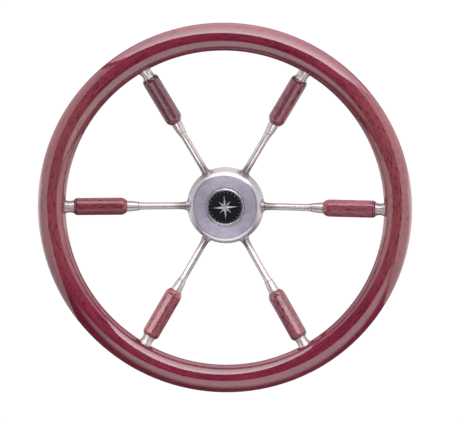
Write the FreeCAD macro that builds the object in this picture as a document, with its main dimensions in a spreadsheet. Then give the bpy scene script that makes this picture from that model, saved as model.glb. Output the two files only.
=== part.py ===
# Six-spoke boat steering wheel: a turned hardwood rim carried by six stainless spokes, each with
# a hardwood grip between two ferrules, on a cast stainless hub with a push-in centre cap.
#
# The wheel turns about Y. Its face looks along -Y and +Z is up. The origin is on the axis, in the
# plane of the hub's back face, where the wheel seats on the helm shaft. Heights are counted from
# that plane towards the face, so a height of 10 lies at y = -10. Lengths are in millimetres.
import FreeCAD, Part
import math
import operator
import os
import types

import Sketcher
from FreeCAD import Placement, Rotation, Vector


SIZES = (
    ("rim_diameter", 400.0, "outside diameter of the rim"),
    ("rim_thickness", 30.0, "diameter of the rim's round section"),
    ("rim_forward", 6.0, "rim's middle plane in front of the hub's face"),
    ("rim_seat_depth", 3.5, "flat-bottomed seat for a ferrule, from the rim's inner edge"),
    ("tenon_depth", 14.0, "spoke tenon hole, from the rim's inner edge"),
    ("spoke_count", 6, "spokes, evenly spaced"),
    ("taper_diameter", 19.05, "shaft bore where it opens in the back face"),
    ("taper_ratio", 12.0, "length over which the bore's diameter falls by one"),
    ("taper_length", 22.0, "length of the tapered bore"),
    ("keyway_width", 4.76, "width of the keyway in the bore"),
    ("keyway_depth", 2.4, "keyway, deeper than the bore's wide end"),
    ("nut_recess_diameter", 35.2, "recess for the shaft nut"),
    ("nut_recess_depth", 14.0, "recess floor behind the hub's face"),
    ("cap_seat_depth", 3.0, "counterbore that the centre cap sits in"),
    ("cap_seat_chamfer", 0.5, "chamfer round the mouth of that counterbore"),
    ("hub_diameter", 82.8, "widest diameter of the hub"),
    ("hub_shoulder_round", 6.0, "round between the hub's face and its side"),
    ("hub_side_lean", 0.32, "lean of that side to the axis for each millimetre of height"),
    ("hub_back_round", 3.0, "round between the hub's side and its back slope"),
    ("back_boss_diameter", 48.0, "boss that stands on the shaft's seat"),
    ("back_boss_height", 8.0, "straight part of that boss"),
    ("back_slope_radius", 24.0, "hollow of the slope from the boss to the hub's side"),
    ("back_boss_chamfer", 1.0, "chamfer of the boss"),
    ("spoke_boss_diameter", 15.2, "boss at the root of a spoke"),
    ("spoke_boss_face", 10.0, "flat on that boss, which the spoke's shoulder meets"),
    ("spoke_boss_rise", 1.2, "flat's height over the hub's side"),
    ("spoke_boss_flank", 7.6, "length of the boss's hollow flank"),
    ("spoke_boss_radius", 12.6, "radius of that flank"),
    ("spoke_boss_cover", 0.9, "metal between a boss and the plane of the hub's face"),
    ("socket_spare", 1.2, "socket beyond the end of the stud"),
    ("socket_countersink", 0.5, "countersink of the socket"),
    ("stud_diameter", 6.0, "screwed inner end of a spoke"),
    ("stud_length", 16.0, "length of that end"),
    ("rod_root_diameter", 8.6, "spoke at the hub"),
    ("rod_root_chamfer", 0.4, "chamfer at the spoke's root"),
    ("rod_root_length", 13.0, "length over which the root thins to the waist"),
    ("rod_waist_diameter", 7.5, "spoke along its middle"),
    ("rod_flare_length", 8.0, "length over which it widens again to the ferrule"),
    ("rod_flare_diameter", 8.7, "spoke at the ferrule"),
    ("rod_sweep_radius", 60.0, "hollow of both widenings"),
    ("tenon_diameter", 6.0, "thin part of the spoke inside ferrules, grip and rim"),
    ("tenon_chamfer", 0.5, "chamfer of the tenon's end"),
    ("inner_ferrule_length", 12.6, "ferrule on the hub side of the grip"),
    ("inner_ferrule_nose", 9.2, "its small end"),
    ("inner_ferrule_mouth", 11.4, "its large end, against the grip"),
    ("inner_ferrule_bulge", 80.0, "radius of its rounded side"),
    ("inner_ferrule_chamfer", 0.25, "chamfer of its small end"),
    ("grip_length", 56.8, "wooden grip"),
    ("grip_diameter", 18.6, "its diameter"),
    ("grip_inner_face", 11.9, "flat on its hub end"),
    ("grip_inner_round", 7.2, "length of the rounding at that end"),
    ("grip_outer_face", 14.6, "flat on its rim end"),
    ("grip_outer_round", 4.0, "length of the rounding at that end"),
    ("outer_ferrule_length", 12.2, "ferrule between the grip and its seat in the rim"),
    ("outer_ferrule_lip", 14.0, "its diameter at the grip"),
    ("outer_ferrule_foot", 14.6, "its diameter in the rim"),
    ("outer_ferrule_hollow", 9.2, "radius of its hollow side"),
    ("ferrule_land", 0.6, "short straight edge at the grip"),
    ("wood_fit", 0.05, "play all round a turned end in its hole"),
    ("metal_fit", 0.05, "play all round a metal bore on the spoke"),
    ("cap_diameter", 41.0, "centre cap"),
    ("cap_play", 0.35, "gap round the centre cap"),
    ("cap_floor", 1.6, "cap's wall under the badge"),
    ("cap_bezel_width", 2.6, "raised ring round the badge"),
    ("cap_bezel_rise", 1.2, "crown of that ring over the hub's face"),
    ("cap_bezel_edge", 0.2, "outer edge of that ring over the hub's face"),
    ("cap_bezel_top", 0.8, "place of the crown, outwards from the ring's inner wall"),
    ("cap_bezel_round", 2.6, "radius of the ring's rounded outside"),
    ("cap_skirt_length", 7.5, "skirt that goes into the nut recess"),
    ("cap_skirt_wall", 2.7, "skirt's wall"),
    ("cap_skirt_play", 0.4, "gap between the skirt and the recess"),
    ("seal_section", 1.8, "squeezed seal ring between the skirt and the recess"),
    ("seal_groove_width", 2.2, "groove that holds the seal ring"),
    ("seal_place", 3.4, "groove's middle, below the cap's flange"),
    ("badge_base", 0.8, "badge plate under its raised figure"),
    ("badge_play", 0.1, "gap between the badge and the bezel"),
    ("badge_relief", 0.5, "height of the raised figure's sides"),
    ("badge_crown", 0.6, "rise of the figure's ridges to its middle"),
    ("badge_turn", 4.0, "degrees that the badge is turned in its cap, counter-clockwise"),
    ("enamel_sink", 0.1, "enamel under the top of the figure's sides"),
    ("rose_long", 13.2, "compass rose, length of a long point"),
    ("rose_short", 8.9, "length of a short point"),
    ("rose_valley", 3.3, "distance from the middle to the corner between two points"),
    ("rose_summit", 0.2, "size of the flat where the ridges meet"),
    ("tick_count", 24, "marks round the badge's edge"),
    ("tick_radius", 16.2, "distance of the marks from the middle"),
    ("tick_length", 1.5, "a mark, across the edge"),
    ("tick_width", 0.7, "a mark, along the edge"),
)

LEFT = 1
RIGHT = -1


class Size:
    """A size held twice: its number, to place things first, and the sheet formula that drives it."""

    def __init__(self, number, formula):
        self.number = float(number)
        self.formula = formula

    def joined(self, other, symbol, rule):
        """This size and another one, or a plain number, joined by a sign of arithmetic."""
        if not isinstance(other, Size):
            other = Size(other, repr(other))
        number = rule(self.number, other.number)
        return Size(number, f"({self.formula} {symbol} {other.formula})")

    def __add__(self, other):
        return self.joined(other, "+", operator.add)

    def __sub__(self, other):
        return self.joined(other, "-", operator.sub)

    def __mul__(self, other):
        return self.joined(other, "*", operator.mul)

    def __truediv__(self, other):
        return self.joined(other, "/", operator.truediv)

    def __neg__(self):
        return Size(-self.number, f"(-1 * {self.formula})")


def length_of(across, along):
    """Length of a slanting line from its two legs."""
    number = math.hypot(across.number, along.number)
    square = across * across + along * along
    return Size(number, f"sqrt{square.formula}")


def angle_of(rise, run):
    """Angle of a slanting line in degrees."""
    number = math.degrees(math.atan2(rise.number, run.number))
    return Size(number, f"atan({(rise / run).formula})")


def sheet_of_sizes(document):
    """Write the driving sizes into a sheet and return them by name."""
    sheet = document.addObject("Spreadsheet::Sheet", "Sizes")
    named = {}
    for row, (name, value, meaning) in enumerate(SIZES, start=1):
        sheet.set(f"A{row}", meaning)
        sheet.set(f"B{row}", str(value))
        sheet.setAlias(f"B{row}", name)
        named[name] = Size(value, f"Sizes.{name}")
    document.recompute()
    return types.SimpleNamespace(**named)


def places_from(size):
    """Work out where the pieces meet, from the driving sizes.

    Heights run from the hub's back face towards the wheel's face. The spokes' centre lines slope
    forward and meet on the axis at spoke_apex, and places along a spoke are counted from there.
    """
    at = types.SimpleNamespace()
    at.hub_radius = size.hub_diameter / 2
    at.hub_face = size.taper_length + size.nut_recess_depth
    at.spoke_height = at.hub_face - size.spoke_boss_cover - size.spoke_boss_diameter / 2
    at.hub_back = at.hub_face - (size.spoke_boss_cover + size.spoke_boss_diameter / 2) * 2
    at.rim_radius = (size.rim_diameter - size.rim_thickness) / 2
    at.rim_height = at.hub_face + size.rim_forward

    rise = at.rim_height - at.spoke_height
    run = at.rim_radius - at.hub_radius
    at.spoke_slope = angle_of(rise, run)
    at.spoke_apex = at.rim_height - at.rim_radius * rise / run
    at.rim_middle = length_of(at.rim_radius, at.rim_height - at.spoke_apex)
    at.rim_edge = at.rim_middle - size.rim_thickness / 2

    at.rim_seat = at.rim_edge + size.rim_seat_depth
    at.grip_outer = at.rim_seat - size.outer_ferrule_length
    at.grip_inner = at.grip_outer - size.grip_length
    at.rod_shoulder = at.grip_inner - size.inner_ferrule_length
    at.tenon_floor = at.rim_edge + size.tenon_depth
    at.tenon_end = at.tenon_floor - size.tenon_chamfer
    at.boss_face = at.hub_radius + size.spoke_boss_rise
    at.stud_end = at.boss_face - size.stud_length

    at.cap_seat = at.hub_face - size.cap_seat_depth
    at.cap_radius = size.cap_diameter / 2
    at.badge_radius = at.cap_radius - size.cap_bezel_width - size.badge_play
    at.badge_floor = at.cap_seat + size.cap_floor
    at.badge_face = at.badge_floor + size.badge_base
    at.badge_top = at.badge_face + size.badge_relief
    at.skirt_radius = size.nut_recess_diameter / 2 - size.cap_skirt_play
    at.seal_floor = size.nut_recess_diameter / 2 - size.seal_section
    at.seal_height = at.cap_seat - size.seal_place
    return at


def new_body(document, name, turn=None):
    """A body for one piece, turned counter-clockwise about the axis as seen from the face."""
    body = document.addObject("PartDesign::Body", name)
    body.Label = name
    if turn:
        body.Placement = Placement(Vector(0, 0, 0), Rotation(Vector(0, -1, 0), turn.number))
        body.setExpression("Placement.Rotation.Angle", turn.formula)
    return body


def origin_part(body, role):
    """The plane or axis of a body's own origin that plays the given role."""
    return next(part for part in body.Origin.OriginFeatures if part.Role == role)


def new_sketch(body, name, plane):
    """An empty sketch on one of the body's own origin planes."""
    sketch = body.newObject("Sketcher::SketchObject", name)
    sketch.AttachmentSupport = (origin_part(body, plane), [""])
    sketch.MapMode = "FlatFace"
    sketch.Visibility = False
    return sketch


def sketch_through_axis(body, name):
    """A sketch for turning about the wheel's axis: x is the radius and y the height, negated."""
    return new_sketch(body, name, "XY_Plane")


def sketch_along_spoke(body, name, at):
    """A sketch whose x runs along the first spoke's centre line, from the wheel's axis."""
    sketch = new_sketch(body, name, "XY_Plane")
    start = Vector(0, -at.spoke_apex.number, 0)
    lean = Rotation(Vector(0, 0, 1), -at.spoke_slope.number)
    sketch.AttachmentOffset = Placement(start, lean)
    sketch.setExpression("AttachmentOffset.Base.y", (-at.spoke_apex).formula)
    sketch.setExpression("AttachmentOffset.Rotation.Angle", (-at.spoke_slope).formula)
    return sketch


def sketch_facing_front(body, name, height):
    """A sketch square to the wheel's axis at a height, seen from the wheel's face."""
    sketch = new_sketch(body, name, "XZ_Plane")
    sketch.AttachmentOffset = Placement(Vector(0, 0, height.number), Rotation())
    sketch.setExpression("AttachmentOffset.Base.z", height.formula)
    return sketch


def hold(sketch, kind, *place_and_size):
    """Add a measured constraint that follows its size."""
    *place, size = place_and_size
    index = sketch.addConstraint(Sketcher.Constraint(kind, *place, size.number))
    sketch.setExpression(f"Constraints[{index}]", size.formula)


def arc_between(start, end, radius, side):
    """The shorter arc of a radius from start to end, bulging to one side of the straight way."""
    chord = end - start
    sagitta = radius - math.sqrt(radius * radius - chord.Length * chord.Length / 4)
    bulge = Vector(-chord.y, chord.x, 0)
    bulge.normalize()
    middle = (start + end) / 2 + bulge * sagitta * side
    return Part.Arc(start, middle, end)


def outline(sketch, corners):
    """Draw a closed outline, with each corner held from the sketch's origin.

    A corner is (x, y), reached by a straight line from the one before, or (x, y, radius, side),
    reached by an arc that bulges to the LEFT or RIGHT of the way. A plain 0 lies on an axis.
    """
    points = []
    for corner in corners:
        x, y = corner[:2]
        points.append(Vector(x.number if x else 0, y.number if y else 0, 0))
    edges = []
    for number, corner in enumerate(corners):
        start, end = points[number - 1], points[number]
        if len(corner) == 2:
            geometry = Part.LineSegment(start, end)
        else:
            geometry = arc_between(start, end, corner[2].number, corner[3])
        index = sketch.addGeometry(geometry, False)
        forward = sketch.getPoint(index, 1).distanceToPoint(start) < 1e-6
        edges.append((index, 1, 2) if forward else (index, 2, 1))
    for number, corner in enumerate(corners):
        index, _, end = edges[number]
        following, start, _ = edges[(number + 1) % len(edges)]
        sketch.addConstraint(Sketcher.Constraint("Coincident", index, end, following, start))
        for kind, axis, size in (("DistanceX", -2, corner[0]), ("DistanceY", -1, corner[1])):
            if size:
                hold(sketch, kind, -1, 1, index, end, size)
            else:
                sketch.addConstraint(Sketcher.Constraint("PointOnObject", index, end, axis))
        if len(corner) == 4:
            hold(sketch, "Radius", index, corner[2])


def ring(sketch, radius, across=0, up=0):
    """Draw a circle, with its middle held from the sketch's origin."""
    middle = Vector(across.number if across else 0, up.number if up else 0, 0)
    index = sketch.addGeometry(Part.Circle(middle, Vector(0, 0, 1), radius.number), False)
    hold(sketch, "Radius", index, radius)
    for kind, axis, size in (("DistanceX", -2, across), ("DistanceY", -1, up)):
        if size:
            hold(sketch, kind, -1, 1, index, 3, size)
        else:
            sketch.addConstraint(Sketcher.Constraint("PointOnObject", index, 3, axis))


def turned(body, name, sketch, axis, kind="Revolution"):
    """Turn a sketch about one of its own axes: added material, or a Groove that cuts."""
    feature = body.newObject(f"PartDesign::{kind}", name)
    feature.Profile = sketch
    feature.ReferenceAxis = (sketch, [axis])
    feature.Angle = 360
    body.Tip = feature
    return feature


def raised(body, name, sketch, height):
    """Raise a sketch towards the wheel's face by a height."""
    feature = body.newObject("PartDesign::Pad", name)
    feature.Profile = sketch
    feature.Length = height.number
    feature.setExpression("Length", height.formula)
    body.Tip = feature
    return feature


def repeated_round(body, name, feature, count):
    """Repeat a feature evenly about the wheel's axis."""
    pattern = body.newObject("PartDesign::PolarPattern", name)
    pattern.Originals = [feature]
    pattern.Axis = (origin_part(body, "Y_Axis"), [""])
    pattern.Angle = 360
    pattern.Occurrences = int(count.number)
    pattern.setExpression("Occurrences", count.formula)
    body.Tip = pattern
    return pattern


def make_rim(document, size, at):
    """The rim is glued up round the spokes' tenons and turned to a ring of round section."""
    body = new_body(document, "wood_rim")
    section = sketch_through_axis(body, "rim_section")
    ring(section, size.rim_thickness / 2, at.rim_radius, -at.rim_height)
    turned(body, "rim_ring", section, "V_Axis")

    seat = sketch_along_spoke(body, "rim_seat_section", at)
    seat_radius = size.outer_ferrule_foot / 2 + size.wood_fit
    hole_radius = size.tenon_diameter / 2 + size.wood_fit
    mouth = at.rim_edge - size.rim_seat_depth
    outline(seat, (
        (mouth, 0),
        (mouth, seat_radius),
        (at.rim_seat, seat_radius),
        (at.rim_seat, hole_radius),
        (at.tenon_floor, hole_radius),
        (at.tenon_floor, 0),
    ))
    bored = turned(body, "rim_seat", seat, "H_Axis", "Groove")
    repeated_round(body, "rim_seats", bored, size.spoke_count)
    return body


def make_hub(document, size, at):
    """The hub is one casting: flat face, round shoulder, leaning side, spoke and shaft bosses."""
    body = new_body(document, "hub_body")
    form = sketch_through_axis(body, "hub_form")
    back_radius = size.back_boss_diameter / 2
    slope_end = at.hub_radius - size.hub_back_round
    widest = at.hub_back + size.hub_back_round
    round_middle = at.hub_face - size.hub_shoulder_round
    lean_length = length_of(Size(1, "1"), size.hub_side_lean)
    side_top = round_middle + size.hub_shoulder_round * size.hub_side_lean / lean_length
    side_end = at.hub_radius - (side_top - widest) * size.hub_side_lean
    face_edge = side_end - size.hub_shoulder_round / lean_length
    outline(form, (
        (0, 0),
        (back_radius - size.back_boss_chamfer, 0),
        (back_radius, -size.back_boss_chamfer),
        (back_radius, -size.back_boss_height),
        (slope_end, -at.hub_back, size.back_slope_radius, RIGHT),
        (at.hub_radius, -widest, size.hub_back_round, LEFT),
        (side_end, -side_top),
        (face_edge, -at.hub_face, size.hub_shoulder_round, LEFT),
        (0, -at.hub_face),
    ))
    turned(body, "hub_casting", form, "V_Axis")

    boss = sketch_along_spoke(body, "spoke_boss_section", at)
    boss_radius = size.spoke_boss_diameter / 2
    boss_start = at.boss_face - size.spoke_boss_flank
    outline(boss, (
        (boss_start, 0),
        (boss_start, boss_radius),
        (at.boss_face, size.spoke_boss_face / 2, size.spoke_boss_radius, RIGHT),
        (at.boss_face, 0),
    ))
    raised_boss = turned(body, "spoke_boss", boss, "H_Axis")
    repeated_round(body, "spoke_bosses", raised_boss, size.spoke_count)

    bore = sketch_through_axis(body, "hub_bore_section")
    bore_radius = size.taper_diameter / 2
    small_radius = bore_radius - size.taper_length / size.taper_ratio / 2
    recess_radius = size.nut_recess_diameter / 2
    seat_radius = at.cap_radius + size.cap_play
    outline(bore, (
        (0, 0),
        (bore_radius, 0),
        (small_radius, -size.taper_length),
        (recess_radius, -size.taper_length),
        (recess_radius, -at.cap_seat),
        (seat_radius, -at.cap_seat),
        (seat_radius, -(at.hub_face - size.cap_seat_chamfer)),
        (seat_radius + size.cap_seat_chamfer, -at.hub_face),
        (0, -at.hub_face),
    ))
    turned(body, "hub_bore", bore, "V_Axis", "Groove")

    socket = sketch_along_spoke(body, "socket_section", at)
    socket_radius = size.stud_diameter / 2 + size.metal_fit
    socket_start = at.stud_end - size.socket_spare
    outline(socket, (
        (socket_start, 0),
        (socket_start, socket_radius),
        (at.boss_face - size.socket_countersink, socket_radius),
        (at.boss_face, socket_radius + size.socket_countersink),
        (at.boss_face + size.socket_countersink, socket_radius + size.socket_countersink),
        (at.boss_face + size.socket_countersink, 0),
    ))
    bored = turned(body, "socket", socket, "H_Axis", "Groove")
    repeated_round(body, "sockets", bored, size.spoke_count)

    slot = sketch_facing_front(body, "keyway_outline", size.taper_length / 2)
    half = size.keyway_width / 2
    top = bore_radius + size.keyway_depth
    outline(slot, ((-half, 0), (-half, top), (half, top), (half, 0)))
    keyway = body.newObject("PartDesign::Pocket", "keyway")
    keyway.Profile = slot
    keyway.Midplane = True
    keyway.Length = size.taper_length.number
    keyway.setExpression("Length", size.taper_length.formula)
    body.Tip = keyway
    return body


def make_centre_cap(document, size, at):
    """The centre cap is a turned lid whose skirt pushes into the nut recess on a seal ring."""
    body = new_body(document, "centre_cap")
    section = sketch_through_axis(body, "cap_section")
    edge = at.hub_face + size.cap_bezel_edge
    crown = at.hub_face + size.cap_bezel_rise
    badge_wall = at.badge_radius + size.badge_play
    crown_radius = badge_wall + size.cap_bezel_top
    bezel_foot = at.badge_top
    skirt_end = at.cap_seat - size.cap_skirt_length
    skirt_inside = at.skirt_radius - size.cap_skirt_wall
    lower_lip = at.seal_height - size.seal_groove_width / 2
    upper_lip = at.seal_height + size.seal_groove_width / 2
    outline(section, (
        (0, -at.cap_seat),
        (skirt_inside, -at.cap_seat),
        (skirt_inside, -skirt_end),
        (at.skirt_radius, -skirt_end),
        (at.skirt_radius, -lower_lip),
        (at.seal_floor, -lower_lip),
        (at.seal_floor, -upper_lip),
        (at.skirt_radius, -upper_lip),
        (at.skirt_radius, -at.cap_seat),
        (at.cap_radius, -at.cap_seat),
        (at.cap_radius, -edge),
        (crown_radius, -crown, size.cap_bezel_round, LEFT),
        (badge_wall, -bezel_foot),
        (badge_wall, -at.badge_floor),
        (0, -at.badge_floor),
    ))
    turned(body, "cap_turning", section, "V_Axis")
    return body


def make_seal(document, size, at):
    """The seal ring fills the gap between its groove and the wall of the nut recess."""
    body = new_body(document, "cap_seal_ring")
    section = sketch_through_axis(body, "seal_section")
    middle = at.seal_floor + size.seal_section / 2
    ring(section, size.seal_section / 2, middle, -at.seal_height)
    turned(body, "seal_ring", section, "V_Axis")
    return body


def rose_corners(long_point, short_point, valley):
    """Corners of an eight-pointed compass rose, from its top point round."""
    reach = (long_point, valley, short_point, valley) * 4
    corners = []
    for number, distance in enumerate(reach):
        angle = math.radians(90 - number * 360 / len(reach))
        across = round(math.cos(angle), 12)
        up = round(math.sin(angle), 12)
        corners.append((distance * across if across else 0, distance * up if up else 0))
    return corners


def make_badge_plate(document, size, at):
    """The badge is a struck disc: a ridged compass rose and a ring of marks stand up from it."""
    body = new_body(document, "badge_plate", size.badge_turn)
    disc = sketch_facing_front(body, "badge_disc", at.badge_floor)
    ring(disc, at.badge_radius)
    raised(body, "badge_base", disc, size.badge_base)

    mark = sketch_facing_front(body, "tick_outline", at.badge_face)
    half = size.tick_width / 2
    inside = size.tick_radius - size.tick_length / 2
    outside = size.tick_radius + size.tick_length / 2
    outline(mark, ((-half, inside), (-half, outside), (half, outside), (half, inside)))
    tick = raised(body, "tick", mark, size.badge_relief)
    repeated_round(body, "ticks", tick, size.tick_count)

    star = sketch_facing_front(body, "rose_outline", at.badge_face)
    outline(star, rose_corners(size.rose_long, size.rose_short, size.rose_valley))
    raised(body, "rose_sides", star, size.badge_relief)

    foot = sketch_facing_front(body, "rose_foot", at.badge_top)
    outline(foot, rose_corners(size.rose_long, size.rose_short, size.rose_valley))
    summit = sketch_facing_front(body, "rose_summit", at.badge_top + size.badge_crown)
    share = size.rose_summit / size.rose_long
    outline(summit, rose_corners(
        size.rose_summit, size.rose_short * share, size.rose_valley * share))
    ridges = body.newObject("PartDesign::AdditiveLoft", "rose_ridges")
    ridges.Profile = foot
    ridges.Sections = [summit]
    ridges.Ruled = True
    body.Tip = ridges
    return body


def make_enamel(document, size, at, plate):
    """Dark enamel fills the badge round the raised figure."""
    disc = document.addObject("Part::Cylinder", "enamel_disc")
    disc.Placement = Placement(Vector(0, 0, 0), Rotation(Vector(1, 0, 0), 90))
    disc.setExpression("Radius", at.badge_radius.formula)
    disc.setExpression("Height", (size.badge_relief - size.enamel_sink).formula)
    disc.setExpression("Placement.Base.y", (-at.badge_face).formula)
    enamel = document.addObject("Part::Cut", "badge_enamel")
    enamel.Label = "badge_enamel"
    enamel.Base = disc
    enamel.Tool = plate
    return enamel


def make_spoke_rod(document, size, at, name, turn):
    """A spoke is one turned rod: screwed end, tapered shank, shoulder and long thin tenon."""
    body = new_body(document, name, turn)
    section = sketch_along_spoke(body, "rod_section", at)
    root_radius = size.rod_root_diameter / 2
    waist_radius = size.rod_waist_diameter / 2
    stud_radius = size.stud_diameter / 2
    tenon_radius = size.tenon_diameter / 2
    root_top = at.boss_face + size.rod_root_chamfer
    outline(section, (
        (at.stud_end, 0),
        (at.stud_end, stud_radius),
        (at.boss_face, stud_radius),
        (at.boss_face, root_radius - size.rod_root_chamfer),
        (root_top, root_radius),
        (at.boss_face + size.rod_root_length, waist_radius, size.rod_sweep_radius, RIGHT),
        (at.rod_shoulder - size.rod_flare_length, waist_radius),
        (at.rod_shoulder, size.rod_flare_diameter / 2, size.rod_sweep_radius, RIGHT),
        (at.rod_shoulder, tenon_radius),
        (at.tenon_end - size.tenon_chamfer, tenon_radius),
        (at.tenon_end, tenon_radius - size.tenon_chamfer),
        (at.tenon_end, 0),
    ))
    turned(body, "rod_turning", section, "H_Axis")
    return body


def make_inner_ferrule(document, size, at, name, turn):
    """The inner ferrule is a turned collar that swells from the spoke to the grip."""
    body = new_body(document, name, turn)
    section = sketch_along_spoke(body, "inner_ferrule_section", at)
    bore_radius = size.tenon_diameter / 2 + size.metal_fit
    nose_radius = size.inner_ferrule_nose / 2
    mouth_radius = size.inner_ferrule_mouth / 2
    outline(section, (
        (at.rod_shoulder, bore_radius),
        (at.rod_shoulder, nose_radius - size.inner_ferrule_chamfer),
        (at.rod_shoulder + size.inner_ferrule_chamfer, nose_radius),
        (at.grip_inner - size.ferrule_land, mouth_radius, size.inner_ferrule_bulge, LEFT),
        (at.grip_inner, mouth_radius),
        (at.grip_inner, bore_radius),
    ))
    turned(body, "inner_ferrule_turning", section, "H_Axis")
    return body


def make_grip(document, size, at, name, turn):
    """A grip is a turned wooden sleeve with rounded ends, held between the two ferrules."""
    body = new_body(document, name, turn)
    section = sketch_along_spoke(body, "grip_section", at)
    bore_radius = size.tenon_diameter / 2 + size.wood_fit
    radius = size.grip_diameter / 2
    inner_drop = radius - size.grip_inner_face / 2
    outer_drop = radius - size.grip_outer_face / 2
    inner_reach = size.grip_inner_round
    outer_reach = size.grip_outer_round
    inner_arc = (inner_drop + inner_reach * inner_reach / inner_drop) / 2
    outer_arc = (outer_drop + outer_reach * outer_reach / outer_drop) / 2
    outline(section, (
        (at.grip_inner, bore_radius),
        (at.grip_inner, size.grip_inner_face / 2),
        (at.grip_inner + inner_reach, radius, inner_arc, LEFT),
        (at.grip_outer - outer_reach, radius),
        (at.grip_outer, size.grip_outer_face / 2, outer_arc, LEFT),
        (at.grip_outer, bore_radius),
    ))
    turned(body, "grip_turning", section, "H_Axis")
    return body


def make_outer_ferrule(document, size, at, name, turn):
    """The outer ferrule is a turned spool between the grip and its seat in the rim."""
    body = new_body(document, name, turn)
    section = sketch_along_spoke(body, "outer_ferrule_section", at)
    bore_radius = size.tenon_diameter / 2 + size.metal_fit
    lip_radius = size.outer_ferrule_lip / 2
    foot_radius = size.outer_ferrule_foot / 2
    outline(section, (
        (at.grip_outer, bore_radius),
        (at.grip_outer, lip_radius),
        (at.grip_outer + size.ferrule_land, lip_radius),
        (at.rim_edge, foot_radius, size.outer_ferrule_hollow, RIGHT),
        (at.rim_seat, foot_radius),
        (at.rim_seat, bore_radius),
    ))
    turned(body, "outer_ferrule_turning", section, "H_Axis")
    return body


def make_wheel(document):
    """Build every piece and return the objects that are kept as sub-parts."""
    size = sheet_of_sizes(document)
    at = places_from(size)
    plate = make_badge_plate(document, size, at)
    pieces = [
        make_rim(document, size, at),
        make_hub(document, size, at),
        make_centre_cap(document, size, at),
        make_seal(document, size, at),
        plate,
        make_enamel(document, size, at, plate),
    ]
    makers = (
        ("spoke_rod", make_spoke_rod),
        ("inner_ferrule", make_inner_ferrule),
        ("spoke_grip", make_grip),
        ("outer_ferrule", make_outer_ferrule),
    )
    full_turn = Size(360, "360")
    for number in range(int(size.spoke_count.number)):
        turn = full_turn * number / size.spoke_count if number else None
        for name, maker in makers:
            pieces.append(maker(document, size, at, f"{name}_{number + 1}", turn))
    document.recompute()
    return pieces


def check(document, pieces):
    """Stop if an object failed, a cut removed nothing or a piece isn't one sound solid."""
    for item in document.Objects:
        if "Invalid" in item.State or "Error" in item.State:
            raise RuntimeError(f"{item.Name} failed: {item.State}")
        if item.TypeId in ("PartDesign::Groove", "PartDesign::Pocket"):
            removed = item.BaseFeature.Shape.Volume - item.Shape.Volume
            if removed < 1.0:
                raise RuntimeError(f"{item.Name} cuts nothing")
    for piece in pieces:
        shape = piece.Shape
        if shape.isNull() or not shape.isValid() or len(shape.Solids) != 1:
            raise RuntimeError(f"{piece.Label} isn't one sound solid")


def write(pieces):
    """Write each piece to its own file, named by its label."""
    os.makedirs("parts", exist_ok=True)
    for piece in pieces:
        piece.Shape.exportStep(f"parts/{piece.Label}.step")
        print(f"{piece.Label}: {piece.Shape.Volume / 1000:.2f} cm3")


wheel = FreeCAD.newDocument("steering_wheel")
wheel_pieces = make_wheel(wheel)
check(wheel, wheel_pieces)
write(wheel_pieces)
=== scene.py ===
"""Looks of a boat steering wheel: varnished hardwood rim and grips, steel spokes, hub and cap.

The wheel turns about Y and its face looks along -Y, with +Z up. Lengths are in metres.
"""
import logging
import math
from dataclasses import dataclass, field
from enum import Enum

import bmesh
import bpy
from mathutils import Matrix, Vector

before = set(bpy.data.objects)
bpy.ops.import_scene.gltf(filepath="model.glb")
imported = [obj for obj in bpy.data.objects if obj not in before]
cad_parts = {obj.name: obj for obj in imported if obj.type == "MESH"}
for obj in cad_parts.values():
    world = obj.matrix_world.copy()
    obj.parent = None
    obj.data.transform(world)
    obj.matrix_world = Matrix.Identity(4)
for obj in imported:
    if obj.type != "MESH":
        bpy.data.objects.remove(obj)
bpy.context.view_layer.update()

LOG = logging.getLogger("steering_wheel")

Colour = tuple[float, float, float]
Socket = bpy.types.NodeSocket

SPOKES = 6
SPOKE_LEAN = math.radians(5.77)
WHITE: Colour = (1.0, 1.0, 1.0)
NOISE_SPAN = (0.3, 0.7)

RIM = ("wood_rim",)
GRIP = ("spoke_grip",)
STEEL = ("spoke_rod", "inner_ferrule", "outer_ferrule")
HUB = ("hub_body", "centre_cap", "badge_plate", "badge_enamel")


def on_every_spoke(kinds: tuple[str, ...]) -> tuple[str, ...]:
    """The nodes of some kinds of piece on all spokes."""
    return tuple(f"{kind}_{number}" for number in range(1, SPOKES + 1) for kind in kinds)


def spoke_angles() -> list[float]:
    """The spokes' angles in radians, counter-clockwise from the right."""
    return [math.tau * number / SPOKES for number in range(SPOKES)]


class Grain(Enum):
    """Which way the wood's fibres run on a piece."""

    ROUND_THE_RING = "ring"
    ALONG_THE_SPOKE = "spoke"


class Lathe(Enum):
    """Which axis a metal piece was turned about."""

    WHEEL = "wheel"
    SPOKE = "spoke"


class Facing(Enum):
    """Which way a soft lamp shines, in the frame that leans with the camera's view."""

    DOWN = (0.0, 0.0, -1.0)
    UP = (0.0, 0.0, 1.0)
    LEFT = (-1.0, 0.0, 0.0)
    RIGHT = (1.0, 0.0, 0.0)
    BACK = (0.0, 1.0, 0.0)


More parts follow.
